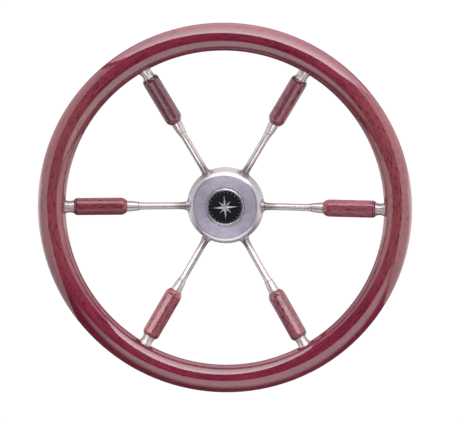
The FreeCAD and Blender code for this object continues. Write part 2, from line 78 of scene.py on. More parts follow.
class Graph:
    """The node tree of one material, lamp or world, built up node by node."""

    noise_roughness = 0.55

    def __init__(self, owner: bpy.types.ID) -> None:
        """Empty the owner's node tree.

        Args:
            owner: the material, lamp or world whose nodes are made.
        """
        owner.use_nodes = True
        self.owner = owner
        self.tree = owner.node_tree
        self.tree.nodes.clear()

    def add(self, kind: str, inputs: dict | None = None, **settings: object) -> bpy.types.Node:
        """Add a node.

        Args:
            kind: the node's type.
            inputs: input name or number to a socket to link or a value to set.
            settings: the node's own properties.

        Returns:
            The new node.
        """
        node = self.tree.nodes.new(kind)
        for key, value in settings.items():
            setattr(node, key, value)
        for key, value in (inputs or {}).items():
            self.feed(node.inputs[key], value)
        return node

    def feed(self, socket: Socket, value: object) -> None:
        """Link a socket to another one, or set its value.

        Args:
            socket: the input.
            value: the socket that feeds it, or a number, vector or colour.
        """
        if isinstance(value, bpy.types.NodeSocket):
            self.tree.links.new(value, socket)
        elif socket.type == "RGBA":
            socket.default_value = (*value, 1.0)
        else:
            socket.default_value = value

    def math(self, operation: str, first: object, second: object = 0.0) -> Socket:
        """The result of one arithmetic operation on sockets or numbers."""
        return self.add("ShaderNodeMath", {0: first, 1: second}, operation=operation).outputs[0]

    def gap(self, value: Socket, mark: float) -> Socket:
        """How far a value lies from a mark, either way."""
        return self.math("ABSOLUTE", self.math("SUBTRACT", value, mark))

    def vector(self, x: object, y: object, z: object) -> Socket:
        """A vector of three sockets or numbers."""
        return self.add("ShaderNodeCombineXYZ", {"X": x, "Y": y, "Z": z}).outputs[0]

    def split(self, vector: Socket) -> tuple[Socket, ...]:
        """The three parts of a vector."""
        return tuple(self.add("ShaderNodeSeparateXYZ", {0: vector}).outputs)

    def length(self, vector: Socket) -> Socket:
        """The length of a vector."""
        return self.add("ShaderNodeVectorMath", {0: vector}, operation="LENGTH").outputs["Value"]

    def place(self) -> Socket:
        """The point's place on the object, which is its place in the wheel."""
        return self.add("ShaderNodeTexCoord").outputs["Object"]

    def from_axis(self) -> Socket:
        """The vector to the point from the nearest point of the wheel's axis."""
        x, _, z = self.split(self.place())
        return self.vector(x, 0.0, z)

    def turned(self, turn: float, shift: float = 0.0) -> Socket:
        """The place turned so that a spoke's direction is x.

        Args:
            turn: the spoke's angle in radians.
            shift: how far the turned place is moved along x.

        Returns:
            The turned and moved place.
        """
        return self.add("ShaderNodeMapping", {
            "Vector": self.place(),
            "Rotation": (0.0, turn, 0.0),
            "Location": (shift, 0.0, 0.0),
        }).outputs[0]

    def station(self, turn: float) -> Socket:
        """How far out a point lies along a spoke's leaning centre line.

        Args:
            turn: the spoke's angle in radians.

        Returns:
            The distance in metres.
        """
        level = math.cos(SPOKE_LEAN)
        line = self.vector(level * math.cos(turn), -math.sin(SPOKE_LEAN), level * math.sin(turn))
        return self.add("ShaderNodeVectorMath", {0: self.place(), 1: line},
                        operation="DOT_PRODUCT").outputs["Value"]

    def eased(self, value: object, low: float, high: float,
              to_low: float = 0.0, to_high: float = 1.0) -> Socket:
        """A value moved from one range to another, eased and clamped at both ends.

        Args:
            value: the socket.
            low: the value that becomes to_low.
            high: the value that becomes to_high.
            to_low: the result at the low end.
            to_high: the result at the high end.

        Returns:
            The moved value.
        """
        return self.add("ShaderNodeMapRange", {
            "Value": value, "From Min": low, "From Max": high, "To Min": to_low, "To Max": to_high,
        }, interpolation_type="SMOOTHSTEP").outputs[0]

    def straight(self, value: object, low: float, high: float, to_low: float = 0.0,
                 to_high: float = 1.0, clamp: bool = True) -> Socket:
        """A value moved from one range to another in a straight line.

        Args:
            value: the socket.
            low: the value that becomes to_low.
            high: the value that becomes to_high.
            to_low: the result at the low end.
            to_high: the result at the high end.
            clamp: whether the result stops at both ends.

        Returns:
            The moved value.
        """
        return self.add("ShaderNodeMapRange", {
            "Value": value, "From Min": low, "From Max": high, "To Min": to_low, "To Max": to_high,
        }, clamp=clamp).outputs[0]

    def noise(self, vector: Socket, scale: float, detail: float, fourth: Socket | None = None) -> Socket:
        """A noise value, in three dimensions or, with a fourth coordinate, in four.

        Args:
            vector: the first three coordinates.
            scale: the noise's changes per unit of the vector.
            detail: how many finer layers it holds.
            fourth: the fourth coordinate.

        Returns:
            The noise, from 0 to 1.
        """
        inputs = {"Vector": vector, "Scale": scale, "Detail": detail, "Roughness": self.noise_roughness}
        if fourth is None:
            return self.add("ShaderNodeTexNoise", inputs).outputs[0]
        return self.add("ShaderNodeTexNoise", inputs | {"W": fourth}, noise_dimensions="4D").outputs[0]

    def blend(self, share: Socket, first: object, second: object) -> Socket:
        """Two colours blended, with the share of the second."""
        inputs = {"Factor_Float": share, "A_Color": first, "B_Color": second}
        return self.mix(inputs, "RGBA", "Result_Color")

    def blend_numbers(self, share: Socket, first: object, second: object) -> Socket:
        """Two numbers blended, with the share of the second."""
        inputs = {"Factor_Float": share, "A_Float": first, "B_Float": second}
        return self.mix(inputs, "FLOAT", "Result_Float")

    def mix(self, inputs: dict, data_type: str, result: str) -> Socket:
        """Add a mix node, whose sockets share their names and differ in their identifiers.

        Args:
            inputs: input identifier to a socket to link or a value to set.
            data_type: what the node mixes.
            result: the identifier of its result.

        Returns:
            The mixed value.
        """
        node = self.add("ShaderNodeMix", data_type=data_type)
        for socket in node.inputs:
            if socket.identifier in inputs:
                self.feed(socket, inputs[socket.identifier])
        return next(socket for socket in node.outputs if socket.identifier == result)

    def bump(self, height: Socket, depth: float) -> Socket:
        """A normal bent by a height of the given depth in metres."""
        return self.add("ShaderNodeBump", {"Height": height, "Distance": depth}).outputs[0]

    def finish(self, shader: bpy.types.Node) -> bpy.types.ID:
        """Make a shader the tree's surface.

        Args:
            shader: the node that holds the whole surface.

        Returns:
            The owner of the tree.
        """
        output = self.add("ShaderNodeOutputMaterial")
        self.tree.links.new(shader.outputs[0], output.inputs["Surface"])
        return self.owner


@dataclass(frozen=True)
class Figure:
    """One layer of the wood's figure: a noise stretched along the fibres.

    Attributes:
        along: its changes per metre along the fibres.
        across: its changes per metre across them.
        detail: how many finer layers the noise holds.
        share: how much it adds to the tone, or how dark its marks are.
        above: the noise levels between which its marks set in, where it draws marks.
    """

    along: float
    across: float
    detail: float
    share: float
    above: tuple[float, float] = (0.0, 1.0)


@dataclass(frozen=True)
class FibrePlace:
    """Where a point lies in the wood.

    Attributes:
        along: its coordinates along the fibres.
        across: its coordinates across them.
        depth: one more coordinate across, where three aren't enough.
    """

    along: tuple[Socket, ...]
    across: tuple[Socket, ...]
    depth: Socket | None = None


@dataclass(frozen=True)
class VarnishedWood:
    """Red hardwood under clear gloss varnish.

    Attributes:
        name: the material's name.
        grain: which way the fibres run.
        turn: the angle of the spoke that the piece is on.
        place_in_log: how far along the fibres the piece's figure starts.
        heart: the wood's deep tone.
        early: the wood's light tone.
        pore_and_shade_tone: the tone of pores and dark streaks, and of the painted shade at a grip's end.
        tones: the figure's layers that blend heart and early.
        tone_range: the sums of those layers that are all heart and all early.
        marks: the layers that draw streaks and pores.
        side_sheen: the tone of a painted sheen, lighter and browner than the wood, laid on the ring to its
            left and right.
        side_sheen_level: the height at which that painted sheen is strongest.
        side_sheen_reach: the heights above and below that level between which the painted sheen fades.
        side_sheen_share: how much of the painted sheen the ring takes.
        ring_radius: the radius of the ring's centre line.
        shade_line: where a line of painted shade runs along the spoke, at the start of the grip's end
            chamfer.
        shade_line_edge: the distances from its middle between which that line fades.
        shade_line_share: how dark that painted shade line is.
        grip_end: the grip's end by the rim, along the spoke.
        grip_end_shade_share: how dark the painted shade makes the chamfer there.
        ripple_scale: the varnish's ripples per metre.
        ripple_depth: how deep they are.
    """

    name: str
    grain: Grain
    turn: float = 0.0
    place_in_log: float = 0.0
    heart: Colour = (0.105, 0.0042, 0.0203)
    early: Colour = (0.160, 0.0175, 0.036)
    pore_and_shade_tone: Colour = (0.030, 0.008, 0.012)
    tones: tuple[Figure, ...] = (
        Figure(9.0, 90.0, 2.0, 0.7), Figure(30.0, 620.0, 3.0, 0.6), Figure(260.0, 1500.0, 2.0, 0.35),
    )
    tone_range: tuple[float, float] = (0.62, 1.05)
    marks: tuple[Figure, ...] = (
        Figure(140.0, 750.0, 2.0, 0.8, (0.50, 0.68)), Figure(420.0, 4200.0, 1.0, 0.75, (0.60, 0.72)),
    )
    side_sheen: Colour = (0.185, 0.044, 0.051)
    side_sheen_level: float = 0.03
    side_sheen_reach: tuple[float, float] = (0.05, 0.15)
    side_sheen_share: float = 0.75
    ring_radius: float = 0.185
    shade_line: float = 0.1619
    shade_line_edge: tuple[float, float] = (0.0002, 0.0008)
    shade_line_share: float = 0.8
    grip_end: float = 0.1645
    grip_end_shade_share: float = 0.4
    ripple_scale: float = 55.0
    ripple_depth: float = 0.00004
    wood_roughness: float = 0.6
    varnish_ior: float = 1.62
    varnish_roughness: float = 0.07

    def build(self) -> bpy.types.Material:
        """Make the material.

        Returns:
            The material, with its fibres along the ring or the spoke.
        """
        graph = Graph(bpy.data.materials.new(self.name))
        place = self.fibres(graph)
        colour = self.toned(graph, place)
        if self.grain is Grain.ROUND_THE_RING:
            # Painted sheen: the ring is made lighter and browner to its left and right, standing in for the
            # side light's warm reflection.
            offset = graph.gap(graph.split(graph.place())[2], self.side_sheen_level)
            share = graph.eased(offset, *self.side_sheen_reach, self.side_sheen_share, 0.0)
            colour = graph.blend(share, colour, self.side_sheen)
        for mark in self.marks:
            share = graph.eased(self.layer(graph, place, mark), *mark.above, 0.0, mark.share)
            colour = graph.blend(share, colour, self.pore_and_shade_tone)
        if self.grain is Grain.ALONG_THE_SPOKE:
            # Painted shade at the grip's end by the rim: a dark line where the end chamfer starts, and the
            # chamfer darkened towards the ferrule.
            colour = graph.blend(self.end_shade(graph), colour, self.pore_and_shade_tone)
        ripple = graph.noise(graph.place(), self.ripple_scale, detail=1.0)
        return graph.finish(graph.add("ShaderNodeBsdfPrincipled", {
            "Base Color": colour,
            "Roughness": self.wood_roughness,
            "Specular IOR Level": 0.0,
            "Coat Weight": 1.0,
            "Coat IOR": self.varnish_ior,
            "Coat Roughness": self.varnish_roughness,
            "Coat Normal": graph.bump(ripple, self.ripple_depth),
        }))

    def fibres(self, graph: Graph) -> FibrePlace:
        """Coordinates that follow the wood's fibres.

        Args:
            graph: the material's node tree.

        Returns:
            The point's place in the wood.
        """
        if self.grain is Grain.ROUND_THE_RING:
            x, y, z = graph.split(graph.place())
            outwards = graph.math("SUBTRACT", graph.length(graph.from_axis()), self.ring_radius)
            return FibrePlace((x, z), (outwards,), y)
        x, y, z = graph.split(graph.turned(self.turn, self.place_in_log))
        return FibrePlace((x,), (y, z))

    def layer(self, graph: Graph, place: FibrePlace, figure: Figure) -> Socket:
        """One layer of the figure.

        Args:
            graph: the material's node tree.
            place: the point's place in the wood.
            figure: the layer.

        Returns:
            The layer's noise.
        """
        parts = [graph.math("MULTIPLY", part, figure.along) for part in place.along]
        parts += [graph.math("MULTIPLY", part, figure.across) for part in place.across]
        fourth = None
        if place.depth is not None:
            fourth = graph.math("MULTIPLY", place.depth, figure.across)
        return graph.noise(graph.vector(*parts), 1.0, figure.detail, fourth)

    def toned(self, graph: Graph, place: FibrePlace) -> Socket:
        """The wood's colour before its marks.

        Args:
            graph: the material's node tree.
            place: the point's place in the wood.

        Returns:
            The colour.
        """
        terms = [graph.math("MULTIPLY", self.layer(graph, place, tone), tone.share)
                 for tone in self.tones]
        total = terms[0]
        for term in terms[1:]:
            total = graph.math("ADD", total, term)
        return graph.blend(graph.eased(total, *self.tone_range), self.heart, self.early)

    def end_shade(self, graph: Graph) -> Socket:
        """How dark a grip is painted at its end by the rim: a line of painted shade where its end chamfer
        starts, then painted shade over the chamfer.

        Args:
            graph: the material's node tree.

        Returns:
            The share of the dark tone.
        """
        station = graph.station(self.turn)
        line = graph.eased(graph.gap(station, self.shade_line), *self.shade_line_edge,
                           self.shade_line_share, 0.0)
        end = graph.eased(station, self.shade_line, self.grip_end, 0.0, self.grip_end_shade_share)
        return graph.math("MAXIMUM", line, end)


@dataclass(frozen=True)
class TurnedSteel:
    """Stainless steel or nickel with the fine rings that turning and polishing leave.

    Attributes:
        name: the material's name.
        axis: what the piece was turned about.
        turn: the angle of the spoke that the piece is on.
        stretch: how far highlights are drawn out across the rings.
        line: where a dark joint line runs, along the spoke or outwards from the wheel's axis.
        line_edge: the shares of its width from its middle between which the line fades.
        root: how far along the spoke, from the hub, the rod's painted shade reaches.
        root_shade_length: the length over which that painted shade fades.
        spread: the shares of the roughness between which it wanders.
    """

    name: str
    axis: Lathe
    turn: float = 0.0
    colour: Colour = (0.55, 0.49, 0.485)
    roughness: float = 0.16
    spread: tuple[float, float] = (0.8, 1.25)
    smear_scale: float = 160.0
    stretch: float = 0.5
    ring_pitch: float = 0.00035
    ring_depth: float = 0.0000003
    line: float | None = None
    line_width: float = 0.0005
    line_edge: tuple[float, float] = (0.5, 1.2)
    line_share: float = 0.6
    line_tone: float = 0.12
    root: float | None = None
    root_shade_length: float = 0.014
    root_shade_share: float = 0.85
    root_shade_colour: Colour = (0.23, 0.185, 0.19)

    def build(self) -> bpy.types.Material:
        """Make the material.

        Returns:
            The material, with its rings round the spoke or the wheel's axis.
        """
        graph = Graph(bpy.data.materials.new(self.name))
        across_rings, rings = self.turning(graph)
        smear = graph.noise(graph.place(), self.smear_scale, detail=3.0)
        least, most = (self.roughness * share for share in self.spread)
        return graph.finish(graph.add("ShaderNodeBsdfPrincipled", {
            "Base Color": self.toned(graph),
            "Metallic": 1.0,
            "Roughness": graph.eased(smear, *NOISE_SPAN, least, most),
            "Anisotropic": self.stretch,
            "Tangent": across_rings,
            "Normal": graph.bump(rings, self.ring_depth),
        }))

    def turning(self, graph: Graph) -> tuple[Socket, Socket]:
        """What the lathe left on the piece.

        Args:
            graph: the material's node tree.

        Returns:
            The direction across the rings, and the rings' height.
        """
        fine = 1.0 / self.ring_pitch
        if self.axis is Lathe.SPOKE:
            x, y, z = graph.split(graph.turned(self.turn))
            across = graph.vector(math.cos(self.turn), -math.tan(SPOKE_LEAN), math.sin(self.turn))
            place = graph.vector(graph.math("MULTIPLY", x, fine), y, z)
            return across, graph.noise(place, 1.0, detail=2.0)
        across = graph.from_axis()
        height = graph.math("MULTIPLY", graph.split(graph.place())[1], fine)
        place = graph.vector(graph.math("MULTIPLY", graph.length(across), fine), height, 0.0)
        return across, graph.noise(place, 1.0, detail=2.0)

    def toned(self, graph: Graph) -> object:
        """The metal's colour with its joint line, and painted shade on the rod near the hub.

        Args:
            graph: the material's node tree.

        Returns:
            A socket, or the plain colour where the piece has neither.
        """
        colour = self.colour
        if self.line is not None:
            along_spoke = self.axis is Lathe.SPOKE
            reach = graph.station(self.turn) if along_spoke else graph.length(graph.from_axis())
            near, far = (self.line_width * share for share in self.line_edge)
            share = graph.eased(graph.gap(reach, self.line), near, far, self.line_share, 0.0)
            colour = graph.blend(share, colour, tuple(self.line_tone * part for part in self.colour))
        # Painted shade: the rod darkens towards the hub, where the hub blocks its light and darkens what it
        # reflects.
        if self.root is not None:
            share = graph.eased(graph.station(self.turn), self.root - self.root_shade_length, self.root,
                                self.root_shade_share, 0.0)
            colour = graph.blend(share, colour, self.root_shade_colour)
        return colour


@dataclass(frozen=True)
class SatinCasting:
    """Satin stainless casting with a smoother shoulder, and rougher spoke bosses darkened with painted
    shade where the spokes meet the hub.

    Attributes:
        name: the material's name.
        colour: the satin face's colour.
        shoulder_colour: the colour outside the face.
        face_radius: the radius of the flat face.
        shoulder_blend: the distances from that radius between which the face becomes shoulder.
        boss_radius: the distance from the axis beyond which the bosses are rough and darkened with painted
            shade.
        boss_blend: the distance over which that roughness and painted shade set in.
        boss_width: the distances beside a spoke's line between which that roughness and painted shade fade.
        satin_spread: the shares of the satin roughness between which it wanders.
        grit_share: how much of the face's colour the grit can darken.
        grit_tone: the grit's colour, as a share of the face's.
    """

    name: str
    colour: Colour = (0.70, 0.63, 0.80)
    shoulder_colour: Colour = (0.50, 0.455, 0.48)
    face_radius: float = 0.0327
    shoulder_blend: tuple[float, float] = (-0.0004, 0.0016)
    boss_shade_colour: Colour = (0.20, 0.17, 0.19)
    boss_radius: float = 0.0390
    boss_blend: float = 0.0012
    boss_width: tuple[float, float] = (0.0068, 0.0088)
    boss_dull_and_shade_share: float = 0.85
    boss_roughness: float = 0.6
    satin: float = 0.44
    satin_spread: tuple[float, float] = (0.92, 1.08)
    cloud_scale: float = 120.0
    polish: float = 0.38
    stretch: float = 0.4
    grit_scale: float = 800.0
    grit_share: float = 0.4
    grit_tone: float = 0.6
    blast_scale: float = 2600.0
    blast_depth: float = 0.000006

    def build(self) -> bpy.types.Material:
        """Make the material.

        Returns:
            The material.
        """
        graph = Graph(bpy.data.materials.new(self.name))
        place = graph.place()
        outwards = graph.from_axis()
        radius = graph.length(outwards)
        edge = graph.eased(radius, *(self.face_radius + step for step in self.shoulder_blend))
        boss = self.bosses(graph, radius)
        least, most = (self.satin * share for share in self.satin_spread)
        cloud = graph.noise(place, self.cloud_scale, detail=3.0)
        face = graph.eased(cloud, *NOISE_SPAN, least, most)
        shoulder = graph.eased(boss, 0.0, 1.0, self.polish, self.boss_roughness)
        colour = graph.blend(edge, self.colour, self.shoulder_colour)
        # Painted shade: the bosses are darkened where the spokes meet the hub.
        colour = graph.blend(boss, colour, self.boss_shade_colour)
        grit = graph.noise(place, self.grit_scale, detail=1.0)
        grit = graph.eased(grit, *NOISE_SPAN, 0.0, self.grit_share)
        colour = graph.blend(grit, colour, tuple(self.grit_tone * part for part in self.colour))
        blast = graph.noise(place, self.blast_scale, detail=2.0)
        return graph.finish(graph.add("ShaderNodeBsdfPrincipled", {
            "Base Color": colour,
            "Metallic": 1.0,
            "Roughness": graph.blend_numbers(edge, face, shoulder),
            "Anisotropic": self.stretch,
            "Tangent": outwards,
            "Normal": graph.bump(blast, self.blast_depth),
        }))

    def bosses(self, graph: Graph, radius: Socket) -> Socket:
        """Where the spoke bosses are rough and carry painted shade.

        Args:
            graph: the material's node tree.
            radius: the point's distance from the wheel's axis.

        Returns:
            The share of the rough finish and the painted shade.
        """
        x, _, z = graph.split(graph.place())
        angle = graph.math("PINGPONG", graph.math("ARCTAN2", z, x), math.pi / SPOKES)
        beside = graph.eased(graph.math("MULTIPLY", angle, radius), *self.boss_width,
                             self.boss_dull_and_shade_share, 0.0)
        outer = graph.eased(radius, self.boss_radius - self.boss_blend, self.boss_radius)
        return graph.math("MULTIPLY", beside, outer)


@dataclass(frozen=True)
class Enamel:
    """Glossy black enamel."""

    name: str
    colour: Colour = (0.006, 0.0055, 0.007)
    roughness: float = 0.12
    wave_scale: float = 300.0
    wave_depth: float = 0.00001

    def build(self) -> bpy.types.Material:
        """Make the material.

        Returns:
            The material.
        """
        graph = Graph(bpy.data.materials.new(self.name))
        wave = graph.noise(graph.place(), self.wave_scale, detail=1.0)
        return graph.finish(graph.add("ShaderNodeBsdfPrincipled", {
            "Base Color": self.colour,
            "Roughness": self.roughness,
            "Normal": graph.bump(wave, self.wave_depth),
        }))


@dataclass(frozen=True)
class Rubber:
    """Matt black rubber."""

    name: str
    colour: Colour = (0.018, 0.018, 0.018)
    roughness: tuple[float, float] = (0.55, 0.75)
    bloom_scale: float = 900.0
    bloom_depth: float = 0.00002

    def build(self) -> bpy.types.Material:
        """Make the material.

        Returns:
            The material.
        """
        graph = Graph(bpy.data.materials.new(self.name))
        bloom = graph.noise(graph.place(), self.bloom_scale, detail=3.0)
        return graph.finish(graph.add("ShaderNodeBsdfPrincipled", {
            "Base Color": self.colour,
            "Roughness": graph.eased(bloom, *NOISE_SPAN, *self.roughness),
            "Normal": graph.bump(bloom, self.bloom_depth),
        }))


def dress(node: str, material: bpy.types.Material) -> None:
    """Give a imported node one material.

    Args:
        node: the node's name.
        material: what it is made of.
    """
    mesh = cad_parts[node].data
    mesh.materials.clear()
    mesh.materials.append(material)
    LOG.info("%s dressed with %s", node, material.name)


@dataclass
class Rim:
    """The wooden rim."""

    def build(self) -> None:
        """Dress the rim."""
        dress("wood_rim", VarnishedWood("rim_varnish", Grain.ROUND_THE_RING).build())


@dataclass
class Spokes:
    """The six spokes with their ferrules and grips.

    Attributes:
        grip_tones: the middle tone given to each grip, from spoke 1 on.
        heart_share: the deep tone as a share of the middle one.
        early_share: the light tone as a share of the middle one.
        log_step: how far apart in the log neighbouring grips were cut.
        rod_root_shade: how far along the spoke, from the hub, each rod's painted shade reaches.
        collar_line: where the joint of rod and inner ferrule shows, along the spoke.
        spool_colour: the colour of the outer ferrules.
    """

    grip_tones: tuple[Colour, ...] = (
        (0.450, 0.108, 0.168), (0.325, 0.090, 0.128), (0.220, 0.070, 0.098),
        (0.300, 0.054, 0.080), (0.370, 0.090, 0.115), (0.300, 0.090, 0.118),
    )
    heart_share: float = 0.78
    early_share: float = 1.25
    log_step: float = 0.37
    rod_root_shade: float = 0.063
    collar_line: float = 0.0955
    spool_colour: Colour = (0.63, 0.57, 0.57)

    def build(self) -> None:
        """Dress each spoke's four pieces."""
        for number, turn in enumerate(spoke_angles(), start=1):
            # Each rod gets painted shade along its stretch next to the hub.
            rod = TurnedSteel(f"spoke_polish_{number}", Lathe.SPOKE, turn,
                              roughness=0.30, stretch=0.0, root=self.rod_root_shade)
            collar = TurnedSteel(f"collar_polish_{number}", Lathe.SPOKE, turn,
                                 roughness=0.32, stretch=0.6, line=self.collar_line)
            spool = TurnedSteel(f"spool_polish_{number}", Lathe.SPOKE, turn,
                                colour=self.spool_colour, roughness=0.45, stretch=0.95)
            tone = Vector(self.grip_tones[number - 1])
            wood = VarnishedWood(f"grip_varnish_{number}", Grain.ALONG_THE_SPOKE, turn,
                                 place_in_log=self.log_step * number,
                                 heart=tuple(tone * self.heart_share),
                                 early=tuple(tone * self.early_share))
            dress(f"spoke_rod_{number}", rod.build())
            dress(f"inner_ferrule_{number}", collar.build())
            dress(f"outer_ferrule_{number}", spool.build())
            dress(f"spoke_grip_{number}", wood.build())


@dataclass
class Hub:
    """The hub casting with its cap, badge and seal.

    Attributes:
        bezel_line: the radius at which the cap's bezel meets the lid.
        bezel_line_width: the width of that joint line.
    """

    cap_colour: Colour = (0.40, 0.37, 0.42)
    badge_colour: Colour = (0.42, 0.39, 0.43)
    bezel_line: float = 0.0191
    bezel_line_width: float = 0.0004

    def build(self) -> None:
        """Dress the hub's pieces."""
        cap = TurnedSteel("cap_polish", Lathe.WHEEL, colour=self.cap_colour, roughness=0.48,
                          line=self.bezel_line, line_width=self.bezel_line_width)
        badge = TurnedSteel("badge_nickel", Lathe.WHEEL, colour=self.badge_colour, roughness=0.3)
        dress("hub_body", SatinCasting("hub_satin").build())
        dress("centre_cap", cap.build())
        dress("badge_plate", badge.build())
        dress("badge_enamel", Enamel("badge_enamel_gloss").build())
        dress("cap_seal_ring", Rubber("seal_rubber").build())


def hang_lamp(name: str, place: Matrix, size: tuple[float, float], radiance: float,
              pieces: tuple[str, ...]) -> bpy.types.Light:
    """Hang a flat lamp that the camera doesn't see.

    Args:
        name: the lamp's name.
        place: where it hangs, shining along its own -z.
        size: its width and height.
        radiance: its brightness, as its power over pi and its area.
        pieces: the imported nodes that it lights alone, or none for all.

    Returns:
        The lamp's light.
    """
    light = bpy.data.lights.new(name, "AREA")
    light.shape = "RECTANGLE"
    light.size, light.size_y = size
    light.energy = radiance * math.pi * size[0] * size[1]
    lamp = bpy.data.objects.new(name, light)
    lamp.matrix_world = place
    lamp.visible_camera = False
    bpy.context.scene.collection.objects.link(lamp)
    if pieces:
        lit = bpy.data.collections.new(f"lit_by_{name}")
        for piece in pieces:
            lit.objects.link(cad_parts[piece])
        lamp.light_linking.receiver_collection = lit
    LOG.info("lamp %s", name)
    return light


@dataclass(frozen=True)
class SpokeStrip:
    """A strip lamp that one spoke's pieces mirror as a bright line along the spoke.

    Attributes:
        kinds: the kinds of piece that it lights.
        spoke: the spoke's number.
        start: one end's azimuth and elevation in degrees, seen from the spoke's grip.
        end: the other end's.
        radiance: how bright it is.
        distance: how far its ends hang from the grip.
        width: the strip's width.
        reach: how far the grip's middle is from the wheel's axis.
    """

    kinds: tuple[str, ...]
    spoke: int
    start: tuple[float, float]
    end: tuple[float, float]
    radiance: float
    distance: float = 2.0
    width: float = 0.5
    reach: float = 0.133

    def build(self) -> None:
        """Hang the lamp."""
        turn = spoke_angles()[self.spoke - 1]
        grip = Vector((math.cos(turn), 0.0, math.sin(turn))) * self.reach
        start, end = (grip + self.towards(*angles) * self.distance for angles in (self.start, self.end))
        middle = (start + end) / 2
        along = (end - start).normalized()
        outwards = (middle - grip).normalized()
        axes = Matrix((along, outwards.cross(along), outwards)).transposed()
        name = "grip_strip" if self.kinds == GRIP else "steel_strip"
        hang_lamp(f"{name}_{self.spoke}", Matrix.Translation(middle) @ axes.to_4x4(),
                  ((end - start).length, self.width), self.radiance,
                  tuple(f"{kind}_{self.spoke}" for kind in self.kinds))

    def towards(self, azimuth: float, elevation: float) -> Vector:
        """The direction at an azimuth and elevation in degrees.

        Args:
            azimuth: the angle to the right of straight out of the wheel's face.
            elevation: the angle above level.

        Returns:
            The direction, one long.
        """
        side, rise = math.radians(azimuth), math.radians(elevation)
        level = math.cos(rise)
        return Vector((math.sin(side) * level, -math.cos(side) * level, math.sin(rise)))


@dataclass(frozen=True)
class CurvedEdge:
    """The curve at which a soft lamp's light ends towards the camera.

    The distance forward at which it ends is level + slope s + bend s squared, where s is the place
    along one axis of the leaning frame.

    Attributes:
        axis: that axis, 0 for x or 2 for z.
        softness: the distance over which the light ends.
    """

    level: float
    slope: float
    bend: float
    axis: int = 0
    softness: float = 0.04


@dataclass(frozen=True)
class RoundPatch:
    """The round or oval patch of a soft lamp that is lit.

    Attributes:
        middle: the patch's middle, to the right and forward.
        half: its half width and half depth.
        core: the share of its reach that is fully lit.
    """

    middle: tuple[float, float]
    half: tuple[float, float]
    core: float = 0.25


@dataclass(frozen=True)
class Softbox:
    """A flat soft lamp, placed in a frame that leans with the camera's view.

    The frame's x points right, its y away from the camera and its z up.

    Attributes:
        low: the lamp's corner with the lowest coordinates.
        high: the corner with the highest.
        faces: which way it shines.
        radiance: how bright it is at its front.
        pieces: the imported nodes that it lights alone, or none for all.
        back_share: how bright its back is, as a share of its front.
        fade: the distances forward between which it brightens from back to front, where that
            isn't its whole depth.
        edge: the curve at which its light ends towards the camera.
        patch: the part of it that is lit.
    """

    name: str
    low: tuple[float, float, float]
    high: tuple[float, float, float]
    faces: Facing
    radiance: float
    pieces: tuple[str, ...] = ()
    back_share: float = 1.0
    fade: tuple[float, float] | None = None
    edge: CurvedEdge | None = None
    patch: RoundPatch | None = None

    def build(self, tilt: float) -> None:
        """Hang the lamp.

        Args:
            tilt: the angle in radians that the frame leans by, about x.
        """
        lean = Matrix.Rotation(-tilt, 3, "X")
        centre = (Vector(self.low) + Vector(self.high)) / 2
        extent = Vector(self.high) - Vector(self.low)
        turn = Vector(self.faces.value).to_track_quat("-Z", "Y").to_matrix()
        width, height = (abs((turn.transposed() @ extent)[axis]) for axis in (0, 1))
        light = hang_lamp(self.name, Matrix.Translation(lean @ centre) @ (lean @ turn).to_4x4(),
                          (width, height), self.radiance, self.pieces)
        self.shade(Graph(light), tilt)

    def shade(self, graph: Graph, tilt: float) -> None:
        """Shape the light over the lamp's face.

        Args:
            graph: the light's node tree.
            tilt: the angle in radians that the frame leans by, about x.
        """
        place = graph.add("ShaderNodeNewGeometry").outputs["Position"]
        leaning = graph.add("ShaderNodeVectorRotate", {"Vector": place, "Angle": tilt},
                            rotation_type="X_AXIS").outputs[0]
        parts = graph.split(leaning)
        forward = graph.math("MULTIPLY", parts[1], -1.0)
        share = 1.0
        if self.fade:
            share = graph.eased(forward, *self.fade, self.back_share, 1.0)
        elif self.back_share < 1.0:
            share = graph.straight(forward, -self.high[1], -self.low[1], self.back_share, 1.0)
        if self.edge:
            share = graph.math("MULTIPLY", share, self.inside_edge(graph, parts, forward))
        if self.patch:
            share = graph.math("MULTIPLY", share, self.inside_patch(graph, parts, forward))
        glow = graph.add("ShaderNodeEmission", {"Color": WHITE, "Strength": share})
        output = graph.add("ShaderNodeOutputLight")
        graph.tree.links.new(glow.outputs[0], output.inputs["Surface"])

    def inside_edge(self, graph: Graph, parts: tuple[Socket, ...], forward: Socket) -> Socket:
        """Whether a point is behind the curved edge.

        Args:
            graph: the light's node tree.
            parts: the point's coordinates in the leaning frame.
            forward: how far towards the camera it lies.

        Returns:
            1 behind the edge and 0 past it.
        """
        side = parts[self.edge.axis]
        limit = graph.math("MULTIPLY", graph.math("MULTIPLY", side, side), self.edge.bend)
        limit = graph.math("ADD", limit, graph.math("MULTIPLY", side, self.edge.slope))
        limit = graph.math("ADD", limit, self.edge.level)
        return graph.eased(graph.math("SUBTRACT", limit, forward), 0.0, self.edge.softness)

    def inside_patch(self, graph: Graph, parts: tuple[Socket, ...], forward: Socket) -> Socket:
        """How brightly a point of the patch is lit.

        Args:
            graph: the light's node tree.
            parts: the point's coordinates in the leaning frame.
            forward: how far towards the camera it lies.

        Returns:
            1 in the patch's core, falling to 0 at its rim.
        """
        offset = graph.vector(*(
            graph.straight(value, middle, middle + half, clamp=False)
            for value, middle, half in zip((parts[0], forward), self.patch.middle, self.patch.half)
        ), 0.0)
        return graph.eased(graph.length(offset), self.patch.core, 1.0, 1.0, 0.0)


